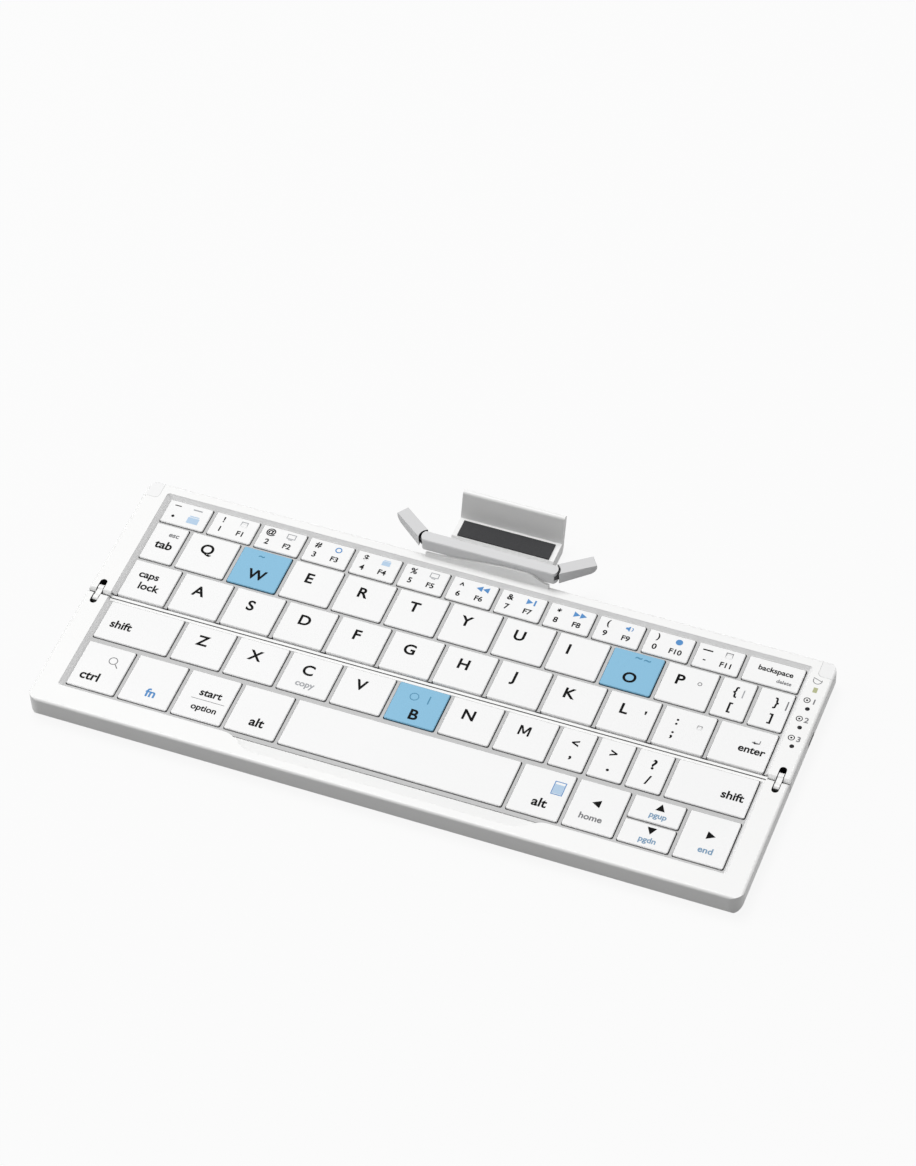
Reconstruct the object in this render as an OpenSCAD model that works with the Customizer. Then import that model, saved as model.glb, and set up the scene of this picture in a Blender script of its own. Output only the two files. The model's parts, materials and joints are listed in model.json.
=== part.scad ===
// Folding pocket keyboard with a pull-out phone stand.
// Two flat halves close on each other over a pair of double-pivot links, like a book with its
// spine between the home row and the row below it. Open and flat: X runs left to right, Y runs
// from the fold line (Y = 0 here) towards the back, and Z = 0 is the table.

/* [Key columns] */
// Pitch of the letter keys
key_pitch = 15.5; // [14.8:0.1:17]
// Pitch of the number keys
number_pitch = 14.17; // [12.8:0.01:14.5]
// Column taken by the tab key
tab_cell = 10.8; // [9:0.1:13]
// Column taken by each bracket key
bracket_cell = 10.6; // [9:0.1:12]
// Column taken by the caps key
caps_cell = 15; // [12:0.1:18]
// Column taken by the left shift key
shift_cell = 22.8; // [19:0.1:26]
// Column taken by each of the comma, full stop and slash keys
comma_cell = 10.8; // [9.5:0.1:12]
// Column taken by the control key
control_cell = 15.1; // [12:0.1:17]
// Column taken by the space bar
space_cell = 64.5; // [58:0.5:66]
// Column taken by the arrow keys
arrow_cell = 15.2; // [13:0.1:15.6]
// Gap between two keys of a row
key_gap = 1.3; // [0.8:0.1:1.8]

/* [Key rows] */
// Depth of a cap in the two letter rows behind the fold, front to back
letter_depth = 13.5; // [12.5:0.1:15]
// Depth of a number cap
number_depth = 8.5; // [7.5:0.1:10]
// Depth of a cap in the letter row in front of the fold
lower_depth = 13.25; // [12.5:0.05:15]
// Depth of a cap in the bottom row
bottom_depth = 15.85; // [14.5:0.05:17]
// Gap between the two letter rows behind the fold
row_gap = 1.05; // [0.8:0.05:2]
// Gap between the top letter row and the number row
number_gap = 0.8; // [0.6:0.05:2]
// Gap between the two rows in front of the fold
bottom_gap = 1.75; // [0.8:0.05:3]
// Gap between the up and the down key
arrow_gap = 0.7; // [0.5:0.05:1]
// Fold line to the first cap behind it
rear_setback = 1.3; // [1.2:0.05:3]
// Fold line to the first cap in front of it
front_setback = 1.45; // [1.2:0.05:3]

/* [Key caps] */
// Height of a cap
cap_h = 1.3; // [1.2:0.05:1.6]
// Thickness of a cap's top
cap_top = 0.6; // [0.4:0.05:0.7]
// Thickness of a cap's skirt
cap_wall = 0.7; // [0.5:0.05:1]
// Bevel round a cap's top
cap_bevel = 0.2; // [0.1:0.05:0.35]
// Corner radius of a cap
cap_corner = 0.6; // [0.4:0.05:1]
// How far a key goes down
key_travel = 1; // [0.6:0.05:1.1]
// Diameter of a cap's guide stem
stem_d = 2.4; // [1.8:0.1:3]
// Clearance round a guide stem
stem_fit = 0.15; // [0.1:0.01:0.25]

/* [Housing] */
// Height of the rim above the table
rim_z = 7; // [6.8:0.1:8.5]
// How far the key tops lie below the rim
key_drop = 0.8; // [0.5:0.05:1.2]
// Width of the margin at each side
side_margin = 6.4; // [6.2:0.1:9]
// Width of the margin behind the keys
rear_margin = 3.15; // [2.8:0.05:6]
// Width of the margin in front of the keys
front_margin = 6.9; // [6:0.1:12]
// Gap between the side margins and the keys
side_gap = 1.55; // [0.8:0.05:2.5]
// Gap between the rear margin and the keys
rear_gap = 1.2; // [0.8:0.05:2]
// Gap between the front margin and the keys
front_gap = 1.8; // [0.8:0.05:2.5]
// Plan radius of the outer corners
corner_r = 3.5; // [2:0.1:5]
// Round along the upper outer edges
edge_r = 0.8; // [0.3:0.05:1.2]
// Round along the lower front and back edges
belly_r = 0.7; // [0.3:0.05:1.2]
// Round along the lower side edges
side_belly_r = 2.6; // [0.5:0.1:2.8]
// Height of a bottom cover's outer wall
cover_h = 1.8; // [1.6:0.1:2]
// Thickness of a bottom cover's floor
floor_t = 0.9; // [0.7:0.05:1.1]
// Gap that the rubber feet leave under the covers
foot_gap = 0.6; // [0.4:0.05:1]
// Wall of each half along the fold
seam_wall = 0.9; // [0.7:0.05:1]
// Ledge that the key deck seats under
deck_ledge = 1.2; // [0.8:0.05:1.4]
// Thickness of the key deck
deck_t = 0.5; // [0.4:0.05:0.7]
// Thickness of the switch membrane
membrane_t = 0.3; // [0.2:0.05:0.4]

/* [Thumb bevel] */
// Length of the bevel at the keys
bevel_l = 91; // [60:1:120]
// Run of the curve at each end of the bevel
bevel_run = 9; // [4:0.5:15]
// Width of the bevel, front to back
bevel_w = 4.1; // [2:0.1:5]
// Depth of the bevel at the keys
bevel_d = 1.2; // [0.5:0.1:2]

/* [Fold hinge] */
// Distance between the two pivots of a link
link_span = 3.6; // [3.4:0.1:4.4]
// Gap between the rims when the halves are closed
fold_gap = 0.6; // [0.4:0.05:1]
// Gap between the halves when they are open
seam_gap = 0.2; // [0.1:0.05:0.4]
// Radius of a link's ends
link_r = 1.4; // [1.2:0.05:1.45]
// Thickness of a link
link_t = 1.6; // [1.2:0.1:1.8]
// Play between a link and each side of its slot
link_play = 0.2; // [0.1:0.05:0.3]
// Reach of the link slot from the fold line
slot_reach = 4.5; // [4:0.1:6]
// Distance of a link's middle from the side of the housing
link_inset = 3.1; // [2.9:0.1:3.3]
// Diameter of the hinge pins
pin_d = 1; // [0.8:0.05:1.2]
// Running clearance round a pin
pin_fit = 0.03; // [0.02:0.01:0.08]

/* [Phone bar] */
// Distance from one wing pivot to the other
pivot_span = 37.9; // [30:0.1:45]
// Depth of the bar, front to back
bar_w = 3.5; // [3.2:0.1:5]
// Height of the bar
bar_h = 3.9; // [3.4:0.1:5]
// How far the bar's ends bulge
end_bulge = 0.9; // [0.6:0.05:1.2]
// Height of the bar's underside above the rim
bar_lift = 1.4; // [1:0.1:3]
// Height of the housing's boss that covers the foot of the bar
boss_h = 3.4; // [2:0.1:4]
// Length of the boss
boss_l = 36; // [24:0.5:44]
// Run of the boss's long rise at the left
boss_rise = 27; // [6:0.5:28]
// Run of the boss's fall at the right
boss_fall = 6.5; // [4:0.5:8]
// Length of a wing from its pivot
wing_l = 11.5; // [9:0.1:16]
// Angle that the wings are swept back
wing_sweep = 36; // [15:1:40]
// Least gap between the bar's round end and a wing
wing_gap = 0.2; // [0.15:0.05:0.5]
// Height that a wing loses towards its tip
wing_taper = 1; // [0:0.1:1.2]
// Round under a wing's tip
tip_r = 2.2; // [1:0.1:2.4]

/* [Pull-out rest] */
// Width of the sliding plate
slide_w = 31; // [24:0.5:33]
// Thickness of the sliding plate
slide_t = 1; // [0.8:0.05:1.1]
// Clearance round the sliding plate
slide_fit = 0.1; // [0.05:0.01:0.15]
// How far the rest pushes in
slide_travel = 9; // [6:0.5:9]
// Back of the housing to the phone's seat
seat_start = 10.5; // [10.5:0.1:14]
// Room for the phone between the seat's front and the upright
seat_l = 7.7; // [6:0.1:12]
// Height of the seat above the table
seat_z = 4; // [3.4:0.1:4.5]
// Thickness of the upright
upright_t = 1.8; // [1.4:0.1:2.6]
// Height of the upright above the seat
upright_h = 8; // [6:0.5:12]
// Lean of the upright
lean = 16.5; // [10:0.5:25]

/* [Hidden] */
$fn = 48;
EPS = 0.01;
OVER = 1;               // how far a cut runs past the face it opens
FACET = 15;             // degrees between the points of a smooth curve

REAR_LETTERS = "qwertyuiop";
HOME_LETTERS = "asdfghjkl";
LOWER_LETTERS = "zxcvbnm";
BLUE_LETTERS = "wob";
function key_names(row) = [for (i = [0:len(row) - 1]) str("key_", row[i])];

// Heights
key_top = rim_z - key_drop;
cap_z = key_top - cap_h;
press_room = 0.1;                       // air under a cap that is pressed home
deck_top = cap_z - key_travel - press_room;
deck_z = deck_top - deck_t;
membrane_z = deck_z - membrane_t;
floor_top = foot_gap + floor_t;
part_z = foot_gap + cover_h;            // line where shell and cover meet
stem_z = deck_z + key_travel;           // a pressed stem just reaches the membrane
collar_h = key_top - cap_top - key_travel - 1.5 * press_room - deck_top;
collar_t = 0.6;

// Key columns: what each row leaves goes to its last key
function total(v, n) = n <= 0 ? 0 : v[n - 1] + total(v, n - 1);
function filled(v, l) = concat(v, [l - total(v, len(v))]);
function repeat(n, v) = [for (i = [1:n]) v];
letter_keys = 10;                       // keys from Q to P
bracket_keys = 2;                       // keys to the right of P
field_l = tab_cell + letter_keys * key_pitch + bracket_keys * bracket_cell;
number_row = filled(repeat(12, number_pitch), field_l);
top_row = concat([tab_cell], repeat(letter_keys, key_pitch), repeat(bracket_keys, bracket_cell));
home_row = filled(concat([caps_cell], repeat(10, key_pitch)), field_l);
lower_row = filled(concat([shift_cell], repeat(7, key_pitch), repeat(3, comma_cell)), field_l);
bottom_row = filled(concat([control_cell], repeat(3, key_pitch), [space_cell, key_pitch],
                           repeat(2, arrow_cell)), field_l);

// Key rows: [cells, middle of the caps in Y, depth of the caps]
home_y = rear_setback + letter_depth / 2;
top_y = home_y + letter_depth + row_gap;
number_y = top_y + letter_depth / 2 + number_gap + number_depth / 2;
lower_y = -front_setback - lower_depth / 2;
bottom_y = lower_y - lower_depth / 2 - bottom_gap - bottom_depth / 2;
small_depth = (bottom_depth - arrow_gap) / 2;
NUMBERS = [number_row, number_y, number_depth];
TOP = [top_row, top_y, letter_depth];
HOME = [home_row, home_y, letter_depth];
LOWER = [lower_row, lower_y, lower_depth];
BOTTOM = [bottom_row, bottom_y, bottom_depth];
UP_KEY = [bottom_row, bottom_y + (small_depth + arrow_gap) / 2, small_depth];
DOWN_KEY = [bottom_row, bottom_y - (small_depth + arrow_gap) / 2, small_depth];
function key_w(row, i) = row[0][i] - key_gap;
function key_x(row, i) = total(row[0], i) + row[0][i] / 2 - field_l / 2;

// Housing
well_x = (field_l - key_gap) / 2 + side_gap;
body_x = well_x + side_margin;
rear_well = number_y + number_depth / 2 + rear_gap;
front_well = -bottom_y + bottom_depth / 2 + front_gap;
rear_y = rear_well + rear_margin;
front_y = front_well + front_margin;
seam = seam_gap / 2;
seam_in = seam + seam_wall;
seam_corner = 0.6;
well_corner = 0.8;
seat_fit = 0.15;                        // clearance of pieces dropped into the housing
deck_x = well_x + deck_ledge;
ring_t = 1.2;                           // wall of the cover that holds the deck up
hinge_y = link_span / 2;
hinge_z = rim_z - (link_span - fold_gap) / 2;
frame_drop = 0.3;                       // from the key tops down to the key frame
frame_z = key_top - frame_drop;
seam_round = hinge_y - seam;
window_fit = 0.1;                       // gap to the left of a cap and behind it
window_slit = 0.35;                     // gap to the right of a cap and in front of it
link_x = body_x - link_inset;
slot_w = link_t + 2 * link_play;
pin_cap = 0.7;                          // housing that covers a pin's outer end
pin_x = [well_x + pin_d / 2, body_x - pin_cap];

// Fasteners and feet
screw_r = 0.8;
screw_head_r = 1.2;
screw_head_h = 0.7;
screw_top = deck_top + 1;
screw_x = deck_x + 1.3;
screw_room = 0.3;                       // air over a screw's tip
screw_margin = 2;                       // from a screw's head to a link's slot
near_screw_y = slot_reach + screw_head_r + screw_margin;
far_screw_inset = 6.5;
foot_r = 4;
foot_sink = 0.3;
foot_inset = 12.5;
foot_margin = 2.5;                      // from a foot to the front or back of a half
near_foot_y = foot_r + foot_margin;
far_foot_inset = foot_r + foot_margin;

// Inside
inner_x = deck_x - 2 * seat_fit - ring_t;
main_board_l = 26;
side_board_l = 14;
board_t = 0.8;
chip_w = 5;
chip_room = 0.1;                        // air between a chip and the membrane
rib_t = 1.2;
rib_count = 3;
rib_room = 7;                           // from the ribs to the main board
battery_size = [96, 24];
battery_fit = 0.3;
battery_wall = 1.2;

// Side pieces
cap_pad_l = 5.8;
cap_pad_w = 4.5;
cap_pad_t = 0.9;
cap_pad_r = 1.3;
cap_pad_fit = 0.06;
lens_inset = 3.5;
lens_x = body_x - lens_inset;
led_y = 32.2;
led_size = [1.2, 1.8];
lens_pitch = 6.75;
first_lens_y = 11.85;
lens_r = 0.65;
lens_h = 1.6;
switch_y = 18;
switch_slot = [5, 2.4];
switch_knob = 2.9;
switch_travel = 1.9;
switch_t = 0.85;
switch_wall = 1;                        // wall of the housing outside the switch's flange
switch_play = 0.1;
switch_fit = 0.15;
switch_lip = 0.6;                       // how far the flange's pocket rises over the slot
switch_room = 0.35;                     // air at each end of the flange's travel
switch_flange_l = switch_slot[0] + 2 * switch_travel - 4 * switch_fit;
switch_in = body_x - switch_wall - switch_play;
switch_face = 0.2;                      // knob's face lies this deep in the side
usb_y = 22;
usb_size = [8.9, 3.2];
usb_depth = 4.5;
usb_wall = 0.3;
usb_fit = 0.05;
usb_back = 0.6;                         // thickness of the socket's back
usb_tongue = [5.6, 0.7];
usb_tongue_in = 1;                      // tongue's tip lies this deep in the side
usb_sink = 0.2;                         // socket's mouth lies this deep in the side
usb_z = (part_z + rim_z) / 2;

// Phone bar and wings
pivot_x = pivot_span / 2;
bar_r = bar_w / 2;
end_tip = end_bulge + 0.05;             // from the pivot to the end of the bar
end_r = (bar_r * bar_r + end_bulge * end_bulge) / 2 / end_bulge;
end_back = end_r - end_tip;             // from the pivot back to the centre of the end's arc
bar_y = rear_y + bar_r;
bar_z = rim_z + bar_lift;
bar_top = bar_z + bar_h;
bar_edge = 0.35;
boss_toe = 0.5;
boss_lip = 0.6;
boss_low = 1;                           // height of the boss at its ends
tongue_t = 1.5;
tongue_play = 0.1;
tongue_r = 1.3;
wing_pin_r = 0.5;
pin_cover = 0.4;                        // what is left of the bar above and below a pin
flange_l = 24;
flange_t = 1.2;
flange_z = 3.6;
bar_screw_x = 8;
bar_screw_z = 4.9;
bar_screw_l = 2;

// Pull-out rest
slide_z = floor_top + slide_fit;
slide_x = slide_w / 2;
lug_w = 1.1;
lug_l = 3;
lug_y = 20;
rail_t = 1.2;
mouth_z = slide_z + slide_t + slide_fit;
seat_y = rear_y + seat_start;
upright_y = seat_y + seat_l;
upright_tip = [upright_y + upright_t / 2 / cos(lean) + (upright_h - upright_t / 2) * tan(lean),
               seat_z + upright_h - upright_t / 2];
rest_gap = 0.2;                         // air under the rest
rest_side = 0.5;                        // the rest is this much narrower than the plate
rest_foot = 1;                          // run of the slope under the rest's front and back
rest_edge = 0.8;                        // bevel along the seat's front
base_z = 1.4;                           // height of the rest's lower back edge
pad_margin = 2;                         // from a pad's ends to the sides of the plate
pad_t = 0.8;
pad_sink = 0.4;
pad_inset = 1;
rear_reach = upright_tip[0] + upright_t / 2;

// The frame's origin lies under the middle of the open keyboard
centre_y = (rear_reach - front_y) / 2;

WHITE = [0.95, 0.95, 0.94];
PALE_GREY = [0.82, 0.82, 0.82];
BLUE = [0.5, 0.74, 0.86];
BLACK = [0.08, 0.08, 0.09];
STEEL = [0.7, 0.7, 0.72];

// ---------- shapes ----------

// Rectangle from y0 to y1 with round corners: radius r0 along y0 and r1 along y1
module plan(x, y0, y1, r0, r1) {
    translate([-x, y0 + r0]) square([2 * x, y1 - y0 - r0 - r1]);
    translate([r0 - x, y0]) square([2 * (x - r0), y1 - y0 - r1]);
    translate([r1 - x, y0 + r0]) square([2 * (x - r1), y1 - y0 - r0]);
    for (side = [-1, 1]) {
        if (r0 > 0) translate([side * (x - r0), y0 + r0]) circle(r0);
        if (r1 > 0) translate([side * (x - r1), y1 - r1]) circle(r1);
    }
}

// Extrude a drawing of Y and Z along X, from -x to x
module along_x(x) {
    rotate([90, 0, 90]) translate([0, 0, -x]) linear_extrude(2 * x) children();
}

// Extrude a drawing of X and Z along Y, from y0 to y1
module along_y(y0, y1) {
    translate([0, y1, 0]) rotate([90, 0, 0]) linear_extrude(y1 - y0) children();
}

module box(x, y, z) {
    translate([x[0], y[0], z[0]]) cube([x[1] - x[0], y[1] - y[0], z[1] - z[0]]);
}

module both_sides() {
    children();
    mirror([1, 0, 0]) children();
}

function around(middle, half) = [middle - half, middle + half];

// Outline of a hump of height h and length l that falls in an S-curve at each end, on a base
// that reaches down by the given depth; run holds the lengths of the left and right curves
function hump(l, run, h, base) = concat(
    [for (a = [180:-FACET:0]) [l / 2 - run[1] * (1 - a / 180), h * (1 + cos(a)) / 2]],
    [for (a = [0:FACET:180]) [run[0] * (1 - a / 180) - l / 2, h * (1 + cos(a)) / 2]],
    [[-l / 2, -base], [l / 2, -base]]);

// ---------- keys ----------

function cap_outline(w) = [
    [-w / 2, 0], [w / 2, 0], [w / 2, cap_h - cap_bevel], [w / 2 - cap_bevel, cap_h],
    [cap_bevel - w / 2, cap_h], [-w / 2, cap_h - cap_bevel]];

module cap(w, d, stems) {
    translate([0, 0, cap_z]) {
        difference() {
            intersection() {
                linear_extrude(cap_h) plan(w / 2, -d / 2, d / 2, cap_corner, cap_corner);
                along_y(-d / 2, d / 2) polygon(cap_outline(w));
                along_x(w / 2) polygon(cap_outline(d));
            }
            box([cap_wall - w / 2, w / 2 - cap_wall], [cap_wall - d / 2, d / 2 - cap_wall],
                [-EPS, cap_h - cap_top]);
        }
    }
    for (x = stems)
        translate([x, 0, stem_z]) cylinder(h = key_top - cap_top - stem_z + EPS, d = stem_d);
}

// A long cap has a stem at each end as well
function stems_of(w) = w > 3 * key_pitch ? [-w / 3, 0, w / 3] : [0];

module key(row, i) {
    translate([key_x(row, i), row[1], 0]) cap(key_w(row, i), row[2], stems_of(key_w(row, i)));
}

module keys(row, columns) {
    for (i = columns) key(row, i);
}

module letter_key(row, letters, i) {
    color(len(search(letters[i], BLUE_LETTERS)) > 0 ? BLUE : WHITE) key(row, i + 1);
}

module letter_keys(row, letters) {
    for (i = [0:len(letters) - 1])
        place() letter_key(row, letters, i);
}

module space_bar() {
    color(WHITE) key(BOTTOM, 4);
}

module enter_key() {
    color(WHITE) key(HOME, 11);
}

module number_keys() {
    color(WHITE) keys(NUMBERS, [0:12]);
}

module rear_side_keys() {
    color(WHITE) {
        keys(TOP, [0, 11, 12]);
        keys(HOME, [0, 10]);
    }
}

module front_side_keys() {
    color(WHITE) keys(LOWER, [0, 8, 9, 10, 11]);
}

module bottom_row_keys() {
    color(WHITE) {
        keys(BOTTOM, [0, 1, 2, 3, 5, 6, 8]);
        key(UP_KEY, 7);
        key(DOWN_KEY, 7);
    }
}

// Caps of one half, for its deck: [middle in X, middle in Y, width, depth]
function row_caps(row, columns) =
    [for (i = columns) [key_x(row, i), row[1], key_w(row, i), row[2]]];
rear_caps = concat(row_caps(NUMBERS, [0:12]), row_caps(TOP, [0:12]), row_caps(HOME, [0:11]));
front_caps = concat(row_caps(LOWER, [0:11]), row_caps(BOTTOM, [0:6]), row_caps(BOTTOM, [8]),
                    row_caps(UP_KEY, [7]), row_caps(DOWN_KEY, [7]));

// ---------- what both halves share; drawn behind the fold and mirrored for the front ----------

// Side view of a half: its upper edge at the fold is round about the hinge axis, so that it
// clears the other half while the two swing
module side_view(depth) {
    translate([seam, foot_gap]) square([depth - seam - belly_r, hinge_z - foot_gap]);
    translate([hinge_y, foot_gap + belly_r])
        square([depth - hinge_y, rim_z - foot_gap - belly_r - edge_r]);
    translate([hinge_y, foot_gap + belly_r])
        square([depth - hinge_y - edge_r, rim_z - foot_gap - belly_r]);
    translate([depth - edge_r, rim_z - edge_r]) circle(edge_r);
    translate([depth - belly_r, foot_gap + belly_r]) circle(belly_r);
    translate([hinge_y, hinge_z]) circle(seam_round);
}

// The outside of a half between two heights
module body(depth, z0, z1) {
    intersection() {
        translate([0, 0, z0]) linear_extrude(z1 - z0)
            plan(body_x, seam, depth, seam_corner, corner_r);
        along_y(0, depth) plan(body_x, foot_gap, rim_z, side_belly_r, edge_r);
        along_x(body_x) side_view(depth);
    }
}

module hinge_slot() {
    slot_r = slot_w / 2;
    slot_z = hinge_z - link_r - link_play;
    translate([link_x - slot_r, 0, slot_z]) cube([slot_w, slot_reach - slot_r, rim_z]);
    translate([link_x, slot_reach - slot_r, slot_z]) cylinder(h = rim_z, r = slot_r);
}

module hinge_pin() {
    color(STEEL) translate([pin_x[0], hinge_y, hinge_z]) rotate([0, 90, 0])
        cylinder(h = pin_x[1] - pin_x[0], d = pin_d);
}

module pin_bore() {
    translate([well_x - EPS, hinge_y, hinge_z]) rotate([0, 90, 0])
        cylinder(h = pin_x[1] - well_x + EPS, d = pin_d);
}

function screw_places(depth) = [[screw_x, near_screw_y], [screw_x, depth - far_screw_inset]];
function foot_places(depth) = [[body_x - foot_inset, near_foot_y],
                               [body_x - foot_inset, depth - far_foot_inset]];

module shell(depth, well) {
    difference() {
        body(depth, part_z, rim_z);
        translate([0, 0, deck_top]) linear_extrude(rim_z)
            plan(well_x, seam_in, well, well_corner, well_corner);
        box([-deck_x, deck_x], [seam_in, well + deck_ledge], [part_z - EPS, deck_top]);
        box([-well_x, well_x], [-EPS, seam_in + well_corner], [hinge_z, rim_z + EPS]);
        both_sides() {
            hinge_slot();
            pin_bore();
            for (p = screw_places(depth))
                translate([p[0], p[1], part_z - EPS]) cylinder(h = screw_top - part_z, r = screw_r);
        }
    }
}

module cover(depth, well) {
    ring_x = deck_x - seat_fit;
    ring_y = [seam_in + seat_fit, well + deck_ledge - seat_fit];
    difference() {
        union() {
            body(depth, foot_gap, part_z);
            box([-ring_x, ring_x], ring_y, [floor_top, deck_z]);
        }
        box([ring_t - ring_x, ring_x - ring_t], [ring_y[0] + ring_t, ring_y[1] - ring_t],
            [floor_top, deck_z + EPS]);
        both_sides() {
            for (p = screw_places(depth)) translate([p[0], p[1], 0]) {
                cylinder(h = part_z + EPS, r = screw_r);
                cylinder(h = foot_gap + screw_head_h, r = screw_head_r);
            }
            for (p = foot_places(depth))
                translate([p[0], p[1], 0]) cylinder(h = foot_gap + foot_sink, r = foot_r);
        }
    }
}

// A plate with guide collars for the stems, and on it a frame with a window for each cap; near
// and far are a cap's gaps to its window on the side of the fold and on the other side
module deck(well, setback, caps, near, far) {
    start = max(seam_in + seat_fit, setback - near / 2);
    collar_r = stem_d / 2 + stem_fit;
    stems = [for (c = caps, x = stems_of(c[2])) [c[0] + x, c[1]]];
    difference() {
        union() {
            box([seat_fit - deck_x, deck_x - seat_fit],
                [seam_in + seat_fit, well + deck_ledge - seat_fit], [deck_z, deck_top]);
            difference() {
                translate([0, 0, deck_top - EPS]) linear_extrude(frame_z - deck_top + EPS)
                    plan(well_x - seat_fit, start, well - seat_fit, well_corner, well_corner);
                for (c = caps)
                    translate([c[0] + (window_slit - window_fit) / 2, c[1], deck_top])
                        linear_extrude(rim_z)
                            plan((c[2] + window_fit + window_slit) / 2, -c[3] / 2 - near,
                                 c[3] / 2 + far, cap_corner, cap_corner);
            }
            for (p = stems)
                translate([p[0], p[1], deck_z])
                    cylinder(h = deck_t + collar_h, r = collar_r + collar_t);
        }
        for (p = stems)
            translate([p[0], p[1], deck_z - EPS]) cylinder(h = cap_h + deck_t, r = collar_r);
    }
}

module membrane(well) {
    inset = ring_t + 2 * seat_fit;
    box([inset - deck_x, deck_x - inset], [seam_in + inset, well + deck_ledge - inset],
        [membrane_z, deck_z]);
}

// A screw that stands on its head
module screw(length) {
    slot = [0.4, 1.7, 0.35];
    difference() {
        union() {
            cylinder(h = screw_head_h, r = screw_head_r - 0.05);
            cylinder(h = length, r = screw_r);
        }
        for (turn = [0, 90]) rotate([0, 0, turn])
            translate([-slot[0] / 2, -slot[1] / 2, -EPS]) cube(slot);
    }
}

module screws(depth) {
    color(STEEL) both_sides() for (p = screw_places(depth))
        translate([p[0], p[1], foot_gap]) screw(screw_top - foot_gap - screw_room);
}

module feet(depth) {
    foot_edge = 0.2;
    color(BLACK) both_sides() for (p = foot_places(depth)) translate([p[0], p[1], 0]) {
        cylinder(h = foot_edge, r1 = foot_r - 2 * foot_edge, r2 = foot_r - foot_edge);
        translate([0, 0, foot_edge])
            cylinder(h = foot_gap + foot_sink - foot_edge, r = foot_r - foot_edge);
    }
}

module link() {
    waist = 0.8 * link_r;
    color(WHITE) difference() {
        translate([link_x - link_t / 2, 0, hinge_z]) rotate([0, 90, 0]) {
            for (y = [-hinge_y, hinge_y]) translate([0, y, 0]) cylinder(h = link_t, r = link_r);
            translate([-waist, -hinge_y, 0]) cube([2 * waist, link_span, link_t]);
        }
        for (y = [-hinge_y, hinge_y]) translate([link_x - link_t, y, hinge_z])
            rotate([0, 90, 0]) cylinder(h = 2 * link_t, r = pin_d / 2 + pin_fit);
    }
}

// ---------- rear half ----------

module corner_pad(fit) {
    x = body_x - cap_pad_w + fit;
    y = rear_y - cap_pad_l + fit;
    intersection() {
        translate([0, 0, rim_z - cap_pad_t + fit]) linear_extrude(cap_pad_t) {
            translate([x + cap_pad_r, y]) square([cap_pad_w, cap_pad_l]);
            translate([x, y + cap_pad_r]) square([cap_pad_w, cap_pad_l]);
            translate([x + cap_pad_r, y + cap_pad_r]) circle(cap_pad_r);
        }
        body(rear_y, part_z, rim_z);
    }
}

module lens_places() {
    for (i = [0:2]) translate([lens_x, first_lens_y + i * lens_pitch, rim_z - lens_h]) children();
}

module charge_lens(over) {
    translate([lens_x - led_size[0] / 2, led_y - led_size[1] / 2, rim_z - lens_h])
        cube([led_size[0], led_size[1], lens_h + over]);
}

// Boss at the back edge that covers the foot of the phone bar
module boss() {
    toe_y = rear_y - edge_r - boss_toe;
    lip_y = rear_y - boss_lip;
    intersection() {
        translate([0, 0, rim_z + boss_low]) along_y(toe_y, rear_y)
            polygon(hump(boss_l, [boss_rise, boss_fall], boss_h - boss_low, boss_low + edge_r));
        along_x(boss_l / 2) polygon(concat([[rear_y, rim_z - edge_r], [rear_y, rim_z + boss_h]],
            [for (a = [0:FACET:90])
                [lip_y - (lip_y - toe_y) * (1 - cos(a)), rim_z + boss_h * (1 - sin(a))]],
            [[toe_y, rim_z - edge_r]]));
    }
}

module usb_outline(grow) {
    r = usb_size[1] / 2;
    for (side = [-1, 1])
        translate([side * (usb_size[0] / 2 - r), 0]) circle(r + grow);
    translate([r - usb_size[0] / 2, -r - grow]) square([usb_size[0] - 2 * r, 2 * (r + grow)]);
}

// Extrude a drawing of the socket from one depth in the left side to another
module on_usb(x0, x1) {
    translate([x0 - body_x, usb_y, usb_z]) rotate([90, 0, 90]) linear_extrude(x1 - x0) children();
}

module rear_shell() {
    pocket_l = switch_flange_l + switch_travel + 2 * switch_room;
    color(WHITE) difference() {
        union() {
            shell(rear_y, rear_well);
            boss();
        }
        both_sides() corner_pad(0);
        lens_places() cylinder(h = lens_h + OVER, r = lens_r);
        charge_lens(OVER);
        on_usb(-OVER, usb_depth + usb_fit) usb_outline(usb_fit);
        box([switch_in, body_x + OVER], around(switch_y, switch_slot[0] / 2),
            [part_z - EPS, part_z + switch_slot[1]]);
        box([switch_in - switch_t - switch_play, body_x - switch_wall],
            around(switch_y, pocket_l / 2), [part_z - EPS, part_z + switch_slot[1] + switch_lip]);
        box(around(0, slide_x + slide_fit), [rear_well, rear_y + OVER], [part_z - EPS, mouth_z]);
        bar_screw_places() cylinder(h = flange_t + bar_screw_l, r = screw_r);
    }
}

module rear_ribs() {
    rib_x = [slide_x + lug_w + rail_t, inner_x - main_board_l - rib_room];
    for (i = [1:rib_count]) for (side = [-1, 1]) {
        y = seam_in + i * (rear_well - seam_in) / (rib_count + 1);
        box(side > 0 ? rib_x : [-rib_x[1], -rib_x[0]], [y, y + rib_t], [floor_top - EPS, membrane_z]);
    }
}

module slide_channel() {
    wide = slide_x + lug_w + slide_fit;
    narrow = slide_x + slide_fit;
    stop_y = lug_y + lug_l + slide_fit;
    box([-wide, wide], [lug_y - slide_travel - slide_fit, stop_y], [floor_top, membrane_z]);
    box([-narrow, narrow], [lug_y, rear_y + OVER], [floor_top, mouth_z]);
}

module rear_cover() {
    rail = slide_x + lug_w + rail_t;
    color(WHITE) difference() {
        union() {
            cover(rear_y, rear_well);
            rear_ribs();
            box([-rail, rail], [lug_y - slide_travel - slide_fit - rail_t, rear_well],
                [floor_top - EPS, membrane_z]);
        }
        slide_channel();
        box([-slide_x, slide_x], [lug_y - slide_travel - slide_fit, rear_well - ring_t],
            [floor_top, membrane_z + EPS]);
    }
}

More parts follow.
